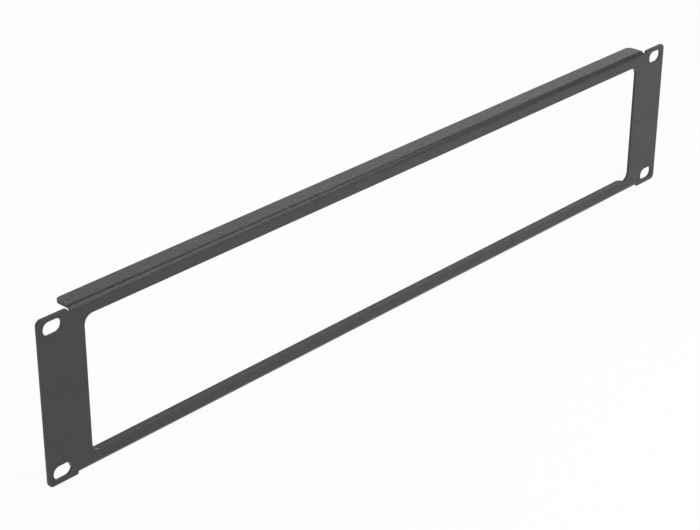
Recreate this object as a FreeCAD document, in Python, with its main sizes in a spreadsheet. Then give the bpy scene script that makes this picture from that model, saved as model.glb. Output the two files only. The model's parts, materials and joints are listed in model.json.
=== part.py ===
import FreeCAD, Part
import Sketcher
import math
import os

# Rack cutout panel: one steel sheet, cut, folded twice and coated.
# A flat face with a slotted ear at each end, a short flange folded back along the top and along the
# bottom edge, and one large rectangular cutout.
#
# Frame: X along the width, Y into the rack, Z up. The origin is the centre of the four mounting slots
# on the rear face of the ears, which is the face that lies against the rack's rails.

# Driving dimensions in millimetres: name, value, meaning
SIZES = [
    ("panel_width", 482.6, "overall width over both ears, 19 inches"),
    ("panel_height", 88.1, "overall height of the ears, two rack units less a small clearance"),
    ("sheet_thickness", 1.5, "steel sheet"),
    ("bend_radius", 1.5, "inside radius of both folds"),
    ("flange_depth", 12.0, "front face to the free edge of a flange"),
    ("flange_corner_radius", 3.5, "free corners of the flanges"),
    ("ear_width", 18.05, "side edge of the panel to the bend relief"),
    ("ear_corner_radius", 3.0, "outer corners of the ears"),
    ("ear_notch_radius", 1.2, "inner corners of the ears, beside the bend reliefs"),
    ("relief_width", 1.75, "gap between an ear and the end of a flange"),
    ("relief_depth", 1.5, "edge of an ear to the floor of the bend relief"),
    ("cutout_side_margin", 27.3, "side edge of the panel to the side of the cutout"),
    ("rail_height", 7.55, "edge of an ear to the long side of the cutout"),
    ("cutout_corner_radius", 5.0, "corners of the cutout"),
    ("slot_length", 11.0, "mounting slot, end to end"),
    ("slot_width", 7.0, "mounting slot, across"),
    ("slot_side_inset", 8.75, "side edge of the panel to the centre of a slot"),
    ("slot_edge_inset", 5.95, "edge of an ear to the centre of a slot"),
]

# Places worked out from the driving dimensions, measured from the origin
HALF_WIDTH = "sizes.panel_width / 2"
HALF_HEIGHT = "sizes.panel_height / 2"
EAR_INNER = HALF_WIDTH + " - sizes.ear_width"
FLANGE_END = EAR_INNER + " - sizes.relief_width"
FLANGE_EDGE = "sizes.flange_depth - sizes.sheet_thickness"
RELIEF_FLOOR = HALF_HEIGHT + " - sizes.relief_depth"
CUTOUT_SIDE = HALF_WIDTH + " - sizes.cutout_side_margin"
CUTOUT_EDGE = HALF_HEIGHT + " - sizes.rail_height"
SLOT_SIDE = HALF_WIDTH + " - sizes.slot_side_inset"
SLOT_EDGE = HALF_HEIGHT + " - sizes.slot_edge_inset"
SLOT_STRAIGHT = "sizes.slot_length - sizes.slot_width"
SLOT_NEAR_END = SLOT_SIDE + " - (" + SLOT_STRAIGHT + ") / 2"

# The inner corner of an ear is rounded by no more than a share of the relief's wall
NOTCH_WALL_SHARE = 0.8
NOTCH_RADIUS = "min(sizes.ear_notch_radius; %g * sizes.relief_depth)" % NOTCH_WALL_SHARE

# How a sketch counts the points of an element and its own two axes
START, END, CENTRE = 1, 2, 3
ACROSS_AXIS_INDEX, UP_AXIS_INDEX = -1, -2
ORIGIN = (ACROSS_AXIS_INDEX, START)

# Two places closer than this, in millimetres, are the same place
SAME_PLACE = 1e-4

# A cut that takes away less than this, in cubic millimetres, has missed the sheet
LEAST_CUT = 1.0

doc = FreeCAD.newDocument("rack_cutout_panel")
sizes = doc.addObject("Spreadsheet::Sheet", "sizes")
for row, (name, value, meaning) in enumerate(SIZES, start=1):
    sizes.set("A%d" % row, name)
    sizes.set("B%d" % row, str(value))
    sizes.set("C%d" % row, meaning)
    sizes.setAlias("B%d" % row, name)
doc.recompute()

panel = doc.addObject("PartDesign::Body", "cutout_panel")
panel.Label = "cutout_panel"


def value_of(expression):
    """The present value of an expression on the driving dimensions."""
    return float(sizes.evalExpression(expression))


def origin_plane(role):
    return next(plane for plane in panel.Origin.OriginFeatures if plane.Role == role)


def new_sketch(name, role):
    sketch = panel.newObject("Sketcher::SketchObject", name)
    sketch.AttachmentSupport = [(origin_plane(role), "")]
    sketch.MapMode = "FlatFace"
    return sketch


def line(sketch, start, end):
    segment = Part.LineSegment(FreeCAD.Vector(*start, 0), FreeCAD.Vector(*end, 0))
    return sketch.addGeometry(segment, False)


def arc(sketch, centre, radius, first_degrees, last_degrees):
    circle = Part.Circle(FreeCAD.Vector(*centre, 0), FreeCAD.Vector(0, 0, 1), radius)
    turn = Part.ArcOfCircle(circle, math.radians(first_degrees), math.radians(last_degrees))
    return sketch.addGeometry(turn, False)


def polygon(sketch, points):
    """A closed outline of straight lines that run across and up in turn."""
    lines = [line(sketch, start, end) for start, end in zip(points, points[1:] + points[:1])]
    for index, (one, following) in enumerate(zip(lines, lines[1:] + lines[:1])):
        tie(sketch, "Coincident", one, END, following, START)
        tie(sketch, "Vertical" if index % 2 else "Horizontal", one)
    return lines


def tie(sketch, kind, *elements):
    sketch.addConstraint(Sketcher.Constraint(kind, *elements))


def dimension(sketch, expression, kind, *elements):
    """A dimension of a sketch that follows the driving dimensions."""
    index = sketch.addConstraint(Sketcher.Constraint(kind, *elements, value_of(expression)))
    sketch.setExpression("Constraints[%d]" % index, expression)


def place(sketch, point, across=None, up=None):
    """Hold a point of a sketch at a distance from the origin, to the right or upwards."""
    if across:
        dimension(sketch, across, "DistanceX", *ORIGIN, *point)
    if up:
        dimension(sketch, up, "DistanceY", *ORIGIN, *point)


def channel_section():
    """The folded section: the face, both bends and both flanges, at one thickness, flush with the ears."""
    sketch = new_sketch("channel_section", "YZ_Plane")
    inside = value_of("sizes.bend_radius")
    outside = inside + value_of("sizes.sheet_thickness")
    front = -value_of("sizes.sheet_thickness")
    edge = value_of(FLANGE_EDGE)
    outer = value_of(HALF_HEIGHT)
    inner = outer - value_of("sizes.sheet_thickness")
    fold = outer - outside
    face = line(sketch, (front, -fold), (front, fold))
    back = line(sketch, (0, fold), (0, -fold))
    tie(sketch, "Vertical", face)
    tie(sketch, "Vertical", back)
    tie(sketch, "PointOnObject", back, START, UP_AXIS_INDEX)
    dimension(sketch, "sizes.sheet_thickness", "DistanceX", face, START, *ORIGIN)
    rims = []
    # each side runs from the face round the bend to the free edge and back to the rear of the face
    for side, first, last in ((1, 90, 180), (-1, 180, 270)):
        at_flange, at_face = (START, END) if side == 1 else (END, START)
        wide = arc(sketch, (inside, side * fold), outside, first, last)
        tight = arc(sketch, (inside, side * fold), inside, first, last)
        top = line(sketch, (inside, side * outer), (edge, side * outer))
        rim = line(sketch, (edge, side * outer), (edge, side * inner))
        under = line(sketch, (edge, side * inner), (inside, side * inner))
        tie(sketch, "Tangent", face, END if side == 1 else START, wide, at_face)
        tie(sketch, "Tangent", wide, at_flange, top, START)
        tie(sketch, "Coincident", top, END, rim, START)
        tie(sketch, "Coincident", rim, END, under, START)
        tie(sketch, "Tangent", under, END, tight, at_flange)
        tie(sketch, "Tangent", tight, at_face, back, START if side == 1 else END)
        tie(sketch, "Coincident", wide, CENTRE, tight, CENTRE)
        tie(sketch, "Horizontal", top)
        tie(sketch, "Horizontal", under)
        tie(sketch, "Vertical", rim)
        dimension(sketch, "sizes.bend_radius", "Radius", tight)
        rims.append(rim)
    place(sketch, (rims[0], START), across=FLANGE_EDGE, up=HALF_HEIGHT)
    tie(sketch, "Symmetric", rims[0], START, rims[1], START, ACROSS_AXIS_INDEX)
    return sketch


def ear_outline():
    """The right ear, joined to the face between its two bend reliefs."""
    sketch = new_sketch("ear_outline", "XZ_Plane")
    neck = value_of(FLANGE_END)
    inner = value_of(EAR_INNER)
    outer = value_of(HALF_WIDTH)
    floor = value_of(RELIEF_FLOOR)
    top = value_of(HALF_HEIGHT)
    upper = [(neck, floor), (inner, floor), (inner, top), (outer, top)]
    lower = [(across, -up) for across, up in reversed(upper)]
    lines = polygon(sketch, upper + lower)
    upper_wall, upper_corner, lower_wall = lines[1], lines[3], lines[5]
    tie(sketch, "Symmetric", upper_wall, START, lower_wall, END, ACROSS_AXIS_INDEX)
    tie(sketch, "Equal", upper_wall, lower_wall)
    place(sketch, (lines[0], START), across=FLANGE_END)
    place(sketch, (upper_wall, START), across=EAR_INNER, up=RELIEF_FLOOR)
    place(sketch, (upper_corner, START), across=HALF_WIDTH, up=HALF_HEIGHT)
    return sketch


def slot_outlines():
    """The upper and lower mounting slots of the right ear, round at both ends."""
    sketch = new_sketch("slot_outlines", "XZ_Plane")
    radius = value_of("sizes.slot_width / 2")
    near = value_of(SLOT_NEAR_END)
    far = near + value_of(SLOT_STRAIGHT)
    near_ends = []
    for side in (1, -1):
        up = side * value_of(SLOT_EDGE)
        left = arc(sketch, (near, up), radius, 90, 270)
        right = arc(sketch, (far, up), radius, -90, 90)
        below = line(sketch, (near, up - radius), (far, up - radius))
        above = line(sketch, (far, up + radius), (near, up + radius))
        tie(sketch, "Tangent", left, END, below, START)
        tie(sketch, "Tangent", below, END, right, START)
        tie(sketch, "Tangent", right, END, above, START)
        tie(sketch, "Tangent", above, END, left, START)
        tie(sketch, "Horizontal", below)
        tie(sketch, "Horizontal", above)
        dimension(sketch, "sizes.slot_width / 2", "Radius", left)
        dimension(sketch, SLOT_STRAIGHT, "DistanceX", left, CENTRE, right, CENTRE)
        near_ends.append(left)
    place(sketch, (near_ends[0], CENTRE), across=SLOT_NEAR_END, up=SLOT_EDGE)
    tie(sketch, "Symmetric", near_ends[0], CENTRE, near_ends[1], CENTRE, ACROSS_AXIS_INDEX)
    return sketch


def cutout_outline():
    sketch = new_sketch("cutout_outline", "XZ_Plane")
    side = value_of(CUTOUT_SIDE)
    edge = value_of(CUTOUT_EDGE)
    lines = polygon(sketch, [(-side, edge), (side, edge), (side, -edge), (-side, -edge)])
    tie(sketch, "Symmetric", lines[0], START, lines[2], START, *ORIGIN)
    place(sketch, (lines[1], START), across=CUTOUT_SIDE, up=CUTOUT_EDGE)
    return sketch


def pad(name, sketch, length):
    """Thicken an outline by a length, forwards from its plane."""
    feature = panel.newObject("PartDesign::Pad", name)
    feature.Profile = sketch
    feature.setExpression("Length", length)
    doc.recompute()
    return feature


def cut_through(name, sketch):
    """Cut the sheet right through, from its rear face to its front."""
    before = panel.Shape.Volume
    pocket = panel.newObject("PartDesign::Pocket", name)
    pocket.Profile = sketch
    pocket.Type = "ThroughAll"
    pocket.Reversed = True
    doc.recompute()
    if before - panel.Shape.Volume < LEAST_CUT:
        raise ValueError(name + " cuts nothing")
    return pocket


def corner_edges(shape, along, corners):
    """Names of the edges that run along X, Y or Z through one of the corners, and of no others.

    A corner gives the places of the edge on the two other axes.
    """
    others = [index for index, axis in enumerate("XYZ") if axis != along]
    names = []
    for number, edge in enumerate(shape.Edges, start=1):
        ends = [vertex.Point for vertex in edge.Vertexes]
        for corner in corners:
            gaps = [abs(end[index] - at) for end in ends for index, at in zip(others, corner)]
            if max(gaps) < SAME_PLACE:
                names.append("Edge%d" % number)
    return names


def round_corners(name, radius, along, corners):
    """Round off the edges that run along X, Y or Z through the corners."""
    base = panel.Tip
    names = corner_edges(base.Shape, along, corners)
    fillet = panel.newObject("PartDesign::Fillet", name)
    fillet.Base = (base, names)
    fillet.setExpression("Radius", radius)
    doc.recompute()
    return fillet


def four_corners(across, up):
    """The corners of an upright rectangle about the origin."""
    half_width = value_of(across)
    half_height = value_of(up)
    return [(side * half_width, end * half_height) for side in (1, -1) for end in (1, -1)]


# The face with its two flanges, then the ears with their slots, then the cutout
channel = pad("folded_channel", channel_section(), "2 * (" + FLANGE_END + ")")
channel.SideType = "Symmetric"
right_ear = pad("right_ear", ear_outline(), "sizes.sheet_thickness")
right_slots = cut_through("right_slots", slot_outlines())
left_ear = panel.newObject("PartDesign::Mirrored", "left_ear")
left_ear.Originals = [right_ear, right_slots]
left_ear.MirrorPlane = (origin_plane("YZ_Plane"), [""])
panel.Tip = left_ear
doc.recompute()
cut_through("cutout", cutout_outline())

# Rounded corners of the outline
flange_corners = [(side * value_of(FLANGE_END), value_of(FLANGE_EDGE)) for side in (1, -1)]
round_corners("cutout_corners", "sizes.cutout_corner_radius", "Y", four_corners(CUTOUT_SIDE, CUTOUT_EDGE))
round_corners("ear_corners", "sizes.ear_corner_radius", "Y", four_corners(HALF_WIDTH, HALF_HEIGHT))
round_corners("notch_corners", NOTCH_RADIUS, "Y", four_corners(EAR_INNER, HALF_HEIGHT))
round_corners("flange_corners", "sizes.flange_corner_radius", "Z", flange_corners)

# Nothing is written unless every step worked and the panel is one sound solid
for item in doc.Objects:
    if "Invalid" in item.State or "Error" in item.State:
        raise ValueError(item.Name + " failed")
solid = panel.Shape
if solid.isNull() or not solid.isValid() or len(solid.Solids) != 1:
    raise ValueError("the panel is not one sound solid")
os.makedirs("parts", exist_ok=True)
solid.exportStep("parts/%s.step" % panel.Label)
print("%s: volume %.1f cubic millimetres" % (panel.Label, solid.Volume))
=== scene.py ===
import json
import math
import bmesh
import bpy
from mathutils import Matrix, Vector


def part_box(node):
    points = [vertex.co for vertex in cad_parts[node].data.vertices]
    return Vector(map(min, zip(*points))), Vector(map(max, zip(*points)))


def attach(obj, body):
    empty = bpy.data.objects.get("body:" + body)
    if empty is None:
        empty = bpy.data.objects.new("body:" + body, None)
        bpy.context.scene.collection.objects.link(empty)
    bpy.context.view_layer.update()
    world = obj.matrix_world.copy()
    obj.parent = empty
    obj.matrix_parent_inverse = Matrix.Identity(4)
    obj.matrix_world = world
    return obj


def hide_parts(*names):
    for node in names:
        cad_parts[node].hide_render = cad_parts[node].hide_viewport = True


# Rack cutout panel: one steel sheet, folded back along its two long edges and coated dark grey.
# X runs along the width, Y into the rack, Z up, all in metres.
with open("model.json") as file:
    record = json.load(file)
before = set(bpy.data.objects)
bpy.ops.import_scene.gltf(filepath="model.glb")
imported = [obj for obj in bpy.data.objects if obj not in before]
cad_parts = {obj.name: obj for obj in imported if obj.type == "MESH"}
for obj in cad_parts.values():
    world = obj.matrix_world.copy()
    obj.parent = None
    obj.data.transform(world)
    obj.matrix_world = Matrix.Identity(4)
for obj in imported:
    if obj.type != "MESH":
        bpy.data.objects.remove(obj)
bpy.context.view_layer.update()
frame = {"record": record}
MM = 0.001

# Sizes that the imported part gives
low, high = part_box("cutout_panel")
slot_sizes = frame["record"]["mounts"][0]["dims"]
HALF_WIDTH = high.x
HALF_HEIGHT = high.z
SHEET = -low.y
FLANGE_DEPTH = high.y - low.y
SLOT_LENGTH = slot_sizes["slot_length_mm"] * MM
SLOT_WIDTH = 2 * slot_sizes["hole_r_mm"] * MM
SLOT_SIDE = slot_sizes["spacing_x_mm"] / 2 * MM
SLOT_UP = slot_sizes["spacing_y_mm"] / 2 * MM

# Sizes of the drawn part that its box doesn't give
BEND_INSIDE = 1.5 * MM
FLANGE_CORNER = 3.5 * MM
EAR_WIDTH = 18.05 * MM
EAR_CORNER = 3.0 * MM
EAR_NOTCH = 1.2 * MM
RELIEF_WIDTH = 1.75 * MM
RELIEF_DEPTH = 1.5 * MM
CUTOUT_SIDE_MARGIN = 27.3 * MM
RAIL_HEIGHT = 7.55 * MM
CUTOUT_CORNER = 5.0 * MM

# What the coat does to the cut edges and to the corners of the bend reliefs
EDGE_ROUND = 0.12 * MM
RELIEF_CORNER = 0.3 * MM

# The coat's own grain: its pebbles, their height, and the wider clouds of its grey
PEBBLE_SIZE = 1.4 * MM
PEBBLE_HEIGHT = 0.22 * MM
CLOUD_SIZE = 14 * MM

# The coat's grey and the roughness of its sheen, each from the least to the most
COAT_GREYS = (0.039, 0.053)
COAT_SHEENS = (0.20, 0.27)

# The stretch of a grain's values that the grey and the sheen follow
GRAIN_STRETCH = (0.3, 0.7)

# Places worked out from the sizes
BEND_OUTSIDE = BEND_INSIDE + SHEET
EAR_INNER = HALF_WIDTH - EAR_WIDTH
FLANGE_END = EAR_INNER - RELIEF_WIDTH
RELIEF_FLOOR = HALF_HEIGHT - RELIEF_DEPTH
CUTOUT_SIDE = HALF_WIDTH - CUTOUT_SIDE_MARGIN
CUTOUT_EDGE = HALF_HEIGHT - RAIL_HEIGHT
FOLD_LINE = HALF_HEIGHT - BEND_OUTSIDE
QUARTER_TURN = math.pi / 2
BEND_LENGTH = BEND_OUTSIDE * QUARTER_TURN
BLANK_EDGE = FOLD_LINE + BEND_LENGTH + FLANGE_DEPTH - BEND_OUTSIDE

# How finely the sheet is divided, and what counts as one place or one flat face
ARC_STEPS = 14
EDGE_STEPS = 3
BEND_STEPS = 14
RAIL_STEPS = 24
SAME_PLACE = 0.001 * MM
FLAT_ANGLE = math.radians(0.5)

# How a point of the flat blank counts its first two axes
ACROSS, UP = 0, 1


# The flat blank

def all_round(quarter):
    """Corners of a whole outline, counter-clockwise, from those of its upper right quarter."""
    whole = []
    for across_side, up_side in ((1, 1), (-1, 1), (-1, -1), (1, -1)):
        turn = quarter if across_side == up_side else quarter[::-1]
        whole += [(across_side * across, up_side * up, radius) for across, up, radius in turn]
    return whole


def rounded(corners):
    """Points round a closed outline of square corners, each turned on its own radius."""
    points = []
    for index, (across, up, radius) in enumerate(corners):
        corner = Vector((across, up))
        back = (Vector(corners[index - 1][:2]) - corner).normalized()
        ahead = (Vector(corners[(index + 1) % len(corners)][:2]) - corner).normalized()
        centre = corner + radius * (back + ahead)
        for step in range(ARC_STEPS + 1):
            angle = QUARTER_TURN * step / ARC_STEPS
            point = centre - radius * (ahead * math.cos(angle) + back * math.sin(angle))
            if all((point - other).length > SAME_PLACE for other in (points[-1:] + points[:1])):
                points.append(point)
    return points


def blank_outlines():
    """The outer edge of the unfolded sheet, then its cutout and its four mounting slots."""
    edge = rounded(all_round([
        (HALF_WIDTH, HALF_HEIGHT, EAR_CORNER),
        (EAR_INNER, HALF_HEIGHT, EAR_NOTCH),
        (EAR_INNER, RELIEF_FLOOR, RELIEF_CORNER),
        (FLANGE_END, RELIEF_FLOOR, RELIEF_CORNER),
        (FLANGE_END, BLANK_EDGE, FLANGE_CORNER),
    ]))
    cutout = rounded(all_round([(CUTOUT_SIDE, CUTOUT_EDGE, CUTOUT_CORNER)]))
    slot = rounded(all_round([(SLOT_LENGTH / 2, SLOT_WIDTH / 2, SLOT_WIDTH / 2)]))
    holes = [cutout]
    for across_side in (1, -1):
        for up_side in (1, -1):
            centre = Vector((across_side * SLOT_SIDE, up_side * SLOT_UP))
            holes.append([centre + point for point in slot])
    return [edge] + [hole[::-1] for hole in holes]


def ways_in(points):
    """At each point of an outline, the way into the sheet, as long as an even inset of 1 needs there."""
    ways = []
    for before, here, after in zip(points[-1:] + points[:-1], points, points[1:] + points[:1]):
        arriving = (here - before).normalized().orthogonal()
        leaving = (after - here).normalized().orthogonal()
        middle = (arriving + leaving).normalized()
        ways.append(middle / middle.dot(leaving))
    return ways


def edge_profile():
    """Steps round a cut edge, from front to rear: inset from the outline, and depth in the sheet."""
    front = []
    for step in range(EDGE_STEPS + 1):
        angle = QUARTER_TURN * step / EDGE_STEPS
        front.append((EDGE_ROUND * (1 - math.sin(angle)), EDGE_ROUND * (1 - math.cos(angle))))
    return front + [(inset, SHEET - depth) for inset, depth in reversed(front)]


def cut_blank():
    """The unfolded sheet with softly rounded cut edges: across, up, and depth from its front face."""
    blank = bmesh.new()
    face_edges = ([], [])
    for points in blank_outlines():
        ways = ways_in(points)
        rings = []
        for inset, depth in edge_profile():
            places = [point + way * inset for point, way in zip(points, ways)]
            rings.append([blank.verts.new((place.x, place.y, depth)) for place in places])
        for ring, following in zip(rings, rings[1:]):
            for index in range(len(points)):
                blank.faces.new((ring[index - 1], ring[index], following[index], following[index - 1]))
        for edges, ring in zip(face_edges, (rings[0], rings[-1])):
            edges += [blank.edges.get((ring[index - 1], ring[index])) for index in range(len(ring))]
    for edges in face_edges:
        bmesh.ops.triangle_fill(blank, edges=edges, use_beauty=True)
    return blank


def score(blank, axis, place, reach=HALF_WIDTH):
    """Draw a line across the blank, out to a reach from its middle, that later clearing keeps."""
    normal = Vector((0, 0, 0))
    normal[axis] = 1
    faces = [face for face in blank.faces if abs(face.calc_center_median().x) < reach]
    edges = {edge for face in faces for edge in face.edges}
    corners = {corner for face in faces for corner in face.verts}
    drawn = bmesh.ops.bisect_plane(
        blank, geom=[*faces, *edges, *corners], dist=SAME_PLACE, plane_co=normal * place, plane_no=normal)
    for item in drawn["geom_cut"]:
        if isinstance(item, bmesh.types.BMEdge):
            item.seam = True


def lay_out(blank):
    """Divide the sheet on the lines of the part and at even stations along its rails, and nowhere else."""
    across_lines = [CUTOUT_SIDE - CUTOUT_CORNER, CUTOUT_SIDE, FLANGE_END, EAR_INNER, SLOT_SIDE]
    up_lines = [CUTOUT_EDGE - CUTOUT_CORNER, CUTOUT_EDGE, SLOT_UP, FOLD_LINE]
    bend_lines = [FOLD_LINE + BEND_LENGTH * step / BEND_STEPS for step in range(1, BEND_STEPS + 1)]
    relief_middle = (FLANGE_END + EAR_INNER) / 2
    station = 2 * (CUTOUT_SIDE - CUTOUT_CORNER) / RAIL_STEPS
    for side in (1, -1):
        for place in across_lines:
            score(blank, ACROSS, side * place)
        for place in up_lines:
            score(blank, UP, side * place)
        for place in bend_lines:
            # above the floor of a relief, a bend line ends with its flange
            reach = EAR_INNER if place < RELIEF_FLOOR else relief_middle
            score(blank, UP, side * place, reach)
    for step in range(1, RAIL_STEPS):
        score(blank, ACROSS, step * station - RAIL_STEPS * station / 2)
    bmesh.ops.dissolve_limit(
        blank, angle_limit=FLAT_ANGLE, verts=blank.verts, edges=blank.edges, delimit={"SEAM"})


def folded(across, up, depth):
    """Where a point of the blank lies once both flanges are folded back and the ears are left flat."""
    flat = Vector((across, depth - SHEET, up))
    beyond = max(0, abs(up) - FOLD_LINE)
    turn = min(beyond / BEND_OUTSIDE, QUARTER_TURN)
    radius = BEND_OUTSIDE - depth
    height = min(abs(up), FOLD_LINE) + radius * math.sin(turn)
    back = BEND_INSIDE - radius * math.cos(turn) + max(0, beyond - BEND_LENGTH)
    bent = Vector((across, back, math.copysign(height, up)))
    share = min(1, max(0, (EAR_INNER - abs(across)) / RELIEF_WIDTH))
    return flat.lerp(bent, share)


def new_object(name, data):
    """An object made of a mesh, a lamp or a lens, put into the scene."""
    thing = bpy.data.objects.new(name, data)
    bpy.context.scene.collection.objects.link(thing)
    return thing


def coated_panel():
    """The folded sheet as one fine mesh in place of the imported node, with the same form."""
    blank = cut_blank()
    lay_out(blank)
    for corner in blank.verts:
        corner.co = folded(*corner.co)
    for edge in blank.edges:
        edge.seam = False
    bmesh.ops.recalc_face_normals(blank, faces=blank.faces)
    # a volume below nothing means that all the faces look inwards
    if blank.calc_volume(signed=True) < 0:
        bmesh.ops.reverse_faces(blank, faces=blank.faces)
    for face in blank.faces:
        face.smooth = True
    mesh = bpy.data.meshes.new("coated_panel")
    blank.to_mesh(mesh)
    blank.free()
    panel = new_object("coated_panel", mesh)
    level = panel.modifiers.new("level_faces", "WEIGHTED_NORMAL")
    level.mode = "FACE_AREA"
    level.keep_sharp = False
    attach(panel, "root")
    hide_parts("cutout_panel")
    return panel


# Finishes

def new_material(name):
    material = bpy.data.materials.new(name)
    material.use_nodes = True
    material.node_tree.nodes.clear()
    return material, material.node_tree.nodes, material.node_tree.links


def mapped(nodes, links, value, stretch, levels):
    """A level that goes from the first to the last of two while a value goes through a stretch."""
    ramp = nodes.new("ShaderNodeMapRange")
    ramp.inputs["From Min"].default_value = stretch[0]
    ramp.inputs["From Max"].default_value = stretch[1]
    ramp.inputs["To Min"].default_value = levels[0]
    ramp.inputs["To Max"].default_value = levels[1]
    links.new(value, ramp.inputs["Value"])
    return ramp.outputs["Result"]


def powder_coat():
    """Dark grey powder coat: a fine pebbled skin, a soft sheen, and a grey that is not quite even."""
    material, nodes, links = new_material("dark_grey_powder_coat")
    output = nodes.new("ShaderNodeOutputMaterial")
    shader = nodes.new("ShaderNodeBsdfPrincipled")
    shader.inputs["Specular IOR Level"].default_value = 0.25
    links.new(shader.outputs["BSDF"], output.inputs["Surface"])
    place = nodes.new("ShaderNodeTexCoord")

    pebbles = nodes.new("ShaderNodeTexNoise")
    pebbles.inputs["Scale"].default_value = 1 / PEBBLE_SIZE
    pebbles.inputs["Detail"].default_value = 3
    pebbles.inputs["Roughness"].default_value = 0.6
    links.new(place.outputs["Object"], pebbles.inputs["Vector"])
    clouds = nodes.new("ShaderNodeTexNoise")
    clouds.inputs["Scale"].default_value = 1 / CLOUD_SIZE
    clouds.inputs["Detail"].default_value = 2
    links.new(place.outputs["Object"], clouds.inputs["Vector"])

    tone = nodes.new("ShaderNodeMix")
    tone.data_type = "FLOAT"
    tone.inputs["Factor"].default_value = 0.5
    links.new(pebbles.outputs["Fac"], tone.inputs["A"])
    links.new(clouds.outputs["Fac"], tone.inputs["B"])
    greys = nodes.new("ShaderNodeValToRGB")
    for stop, position, grey in zip(greys.color_ramp.elements, GRAIN_STRETCH, COAT_GREYS):
        stop.position = position
        stop.color = (grey, grey, grey, 1)
    links.new(tone.outputs["Result"], greys.inputs["Fac"])
    links.new(greys.outputs["Color"], shader.inputs["Base Color"])
    sheen = mapped(nodes, links, pebbles.outputs["Fac"], GRAIN_STRETCH, COAT_SHEENS)
    links.new(sheen, shader.inputs["Roughness"])

    skin = nodes.new("ShaderNodeBump")
    skin.inputs["Strength"].default_value = 1.0
    skin.inputs["Distance"].default_value = PEBBLE_HEIGHT
    links.new(pebbles.outputs["Fac"], skin.inputs["Height"])
    links.new(skin.outputs["Normal"], shader.inputs["Normal"])
    return material


def seen_directly(nodes, links):
    """1 for what the camera sees, also in a gloss or through glass, and 0 for light on the object."""
    path = nodes.new("ShaderNodeLightPath")
    total = path.outputs["Is Camera Ray"]
    for name in ("Is Glossy Ray", "Is Transmission Ray"):
        either = nodes.new("ShaderNodeMath")
        either.operation = "ADD"
        either.use_clamp = True
        links.new(total, either.inputs[0])
        links.new(path.outputs[name], either.inputs[1])
        total = either.outputs["Value"]
    return total


def pale_floor():
    """A white studio floor that keeps a faint shadow of what stands on it."""
    paint_grey = 0.75
    white_share = 0.95
    material, nodes, links = new_material("pale_floor")
    output = nodes.new("ShaderNodeOutputMaterial")
    paint = nodes.new("ShaderNodeBsdfDiffuse")
    paint.inputs["Color"].default_value = (paint_grey, paint_grey, paint_grey, 1)
    glow = nodes.new("ShaderNodeEmission")
    share = nodes.new("ShaderNodeMath")
    share.operation = "MULTIPLY"
    share.inputs[1].default_value = white_share
    links.new(seen_directly(nodes, links), share.inputs[0])
    blend = nodes.new("ShaderNodeMixShader")
    links.new(share.outputs["Value"], blend.inputs["Fac"])
    links.new(paint.outputs["BSDF"], blend.inputs[1])
    links.new(glow.outputs["Emission"], blend.inputs[2])
    links.new(blend.outputs["Shader"], output.inputs["Surface"])
    return material


# Studio

def lay_floor():
    """A square of floor under the panel, wide enough to reach out of sight."""
    reach = 6.0
    mesh = bpy.data.meshes.new("studio_floor")
    sides = ((-1, -1), (1, -1), (1, 1), (-1, 1))
    mesh.from_pydata([(across * reach, back * reach, low.z) for across, back in sides], [], [(0, 1, 2, 3)])
    mesh.materials.append(pale_floor())
    new_object("studio_floor", mesh)


def hang_softbox():
    """A long oval softbox above and in front, turned to the top bend and rolled to lie along it."""
    place = Vector((0.053, -0.320, 0.386))
    target = Vector((-0.11, 0.0, 0.043))
    roll = math.radians(27.5)
    lamp = bpy.data.lights.new("softbox", "AREA")
    lamp.shape = "ELLIPSE"
    lamp.size = 1.036
    lamp.size_y = 0.4
    lamp.energy = 2.86
    softbox = new_object("softbox", lamp)
    aim = (target - place).to_track_quat("-Z", "Y").to_matrix().to_4x4()
    softbox.matrix_world = Matrix.Translation(place) @ aim @ Matrix.Rotation(roll, 4, "Z")


def surround():
    """A white room with a dim ceiling, lower at the right and the front, above a white skirt."""
    dim_way = Vector((0.35, -0.47, 1.0)).normalized()
    dim_stretch = (0.40, 0.44)
    skirt_stretch = (math.sin(math.radians(9.2)), math.sin(math.radians(10.4)))
    room_levels = (1.0, 0.20)
    world = bpy.data.worlds.new("white_room")
    bpy.context.scene.world = world
    world.use_nodes = True
    nodes = world.node_tree.nodes
    links = world.node_tree.links
    way = nodes.new("ShaderNodeTexCoord")
    towards_dim = nodes.new("ShaderNodeVectorMath")
    towards_dim.operation = "DOT_PRODUCT"
    towards_dim.inputs[1].default_value = dim_way
    links.new(way.outputs["Generated"], towards_dim.inputs[0])
    upwards = nodes.new("ShaderNodeSeparateXYZ")
    links.new(way.outputs["Generated"], upwards.inputs["Vector"])
    ceiling = mapped(nodes, links, towards_dim.outputs["Value"], dim_stretch, room_levels)
    skirt = mapped(nodes, links, upwards.outputs["Z"], skirt_stretch, room_levels)
    brighter = nodes.new("ShaderNodeMath")
    brighter.operation = "MAXIMUM"
    links.new(ceiling, brighter.inputs[0])
    links.new(skirt, brighter.inputs[1])
    background = nodes["Background"]
    background.inputs["Color"].default_value = (1, 1, 1, 1)
    links.new(brighter.outputs["Value"], background.inputs["Strength"])


def place_camera():
    """The photograph's view: from the left, in front and above."""
    camera_place = Vector((-0.72454, -0.63462, 0.46895))
    turn_right = math.radians(47.415)
    look_down = math.radians(28.193)
    roll = math.radians(0.299)
    lens = bpy.data.cameras.new("photo_view")
    lens.sensor_width = 36
    lens.lens = 103.413
    lens.shift_y = 0.0714
    camera = new_object("photo_view", lens)
    aim = Matrix.Rotation(-turn_right, 4, "Z") @ Matrix.Rotation(QUARTER_TURN - look_down, 4, "X")
    camera.matrix_world = Matrix.Translation(camera_place) @ aim @ Matrix.Rotation(roll, 4, "Z")
    bpy.context.scene.camera = camera


panel = coated_panel()
panel.data.materials.append(powder_coat())
lay_floor()
surround()
hang_softbox()
place_camera()
bpy.context.scene.view_settings.view_transform = "Standard"
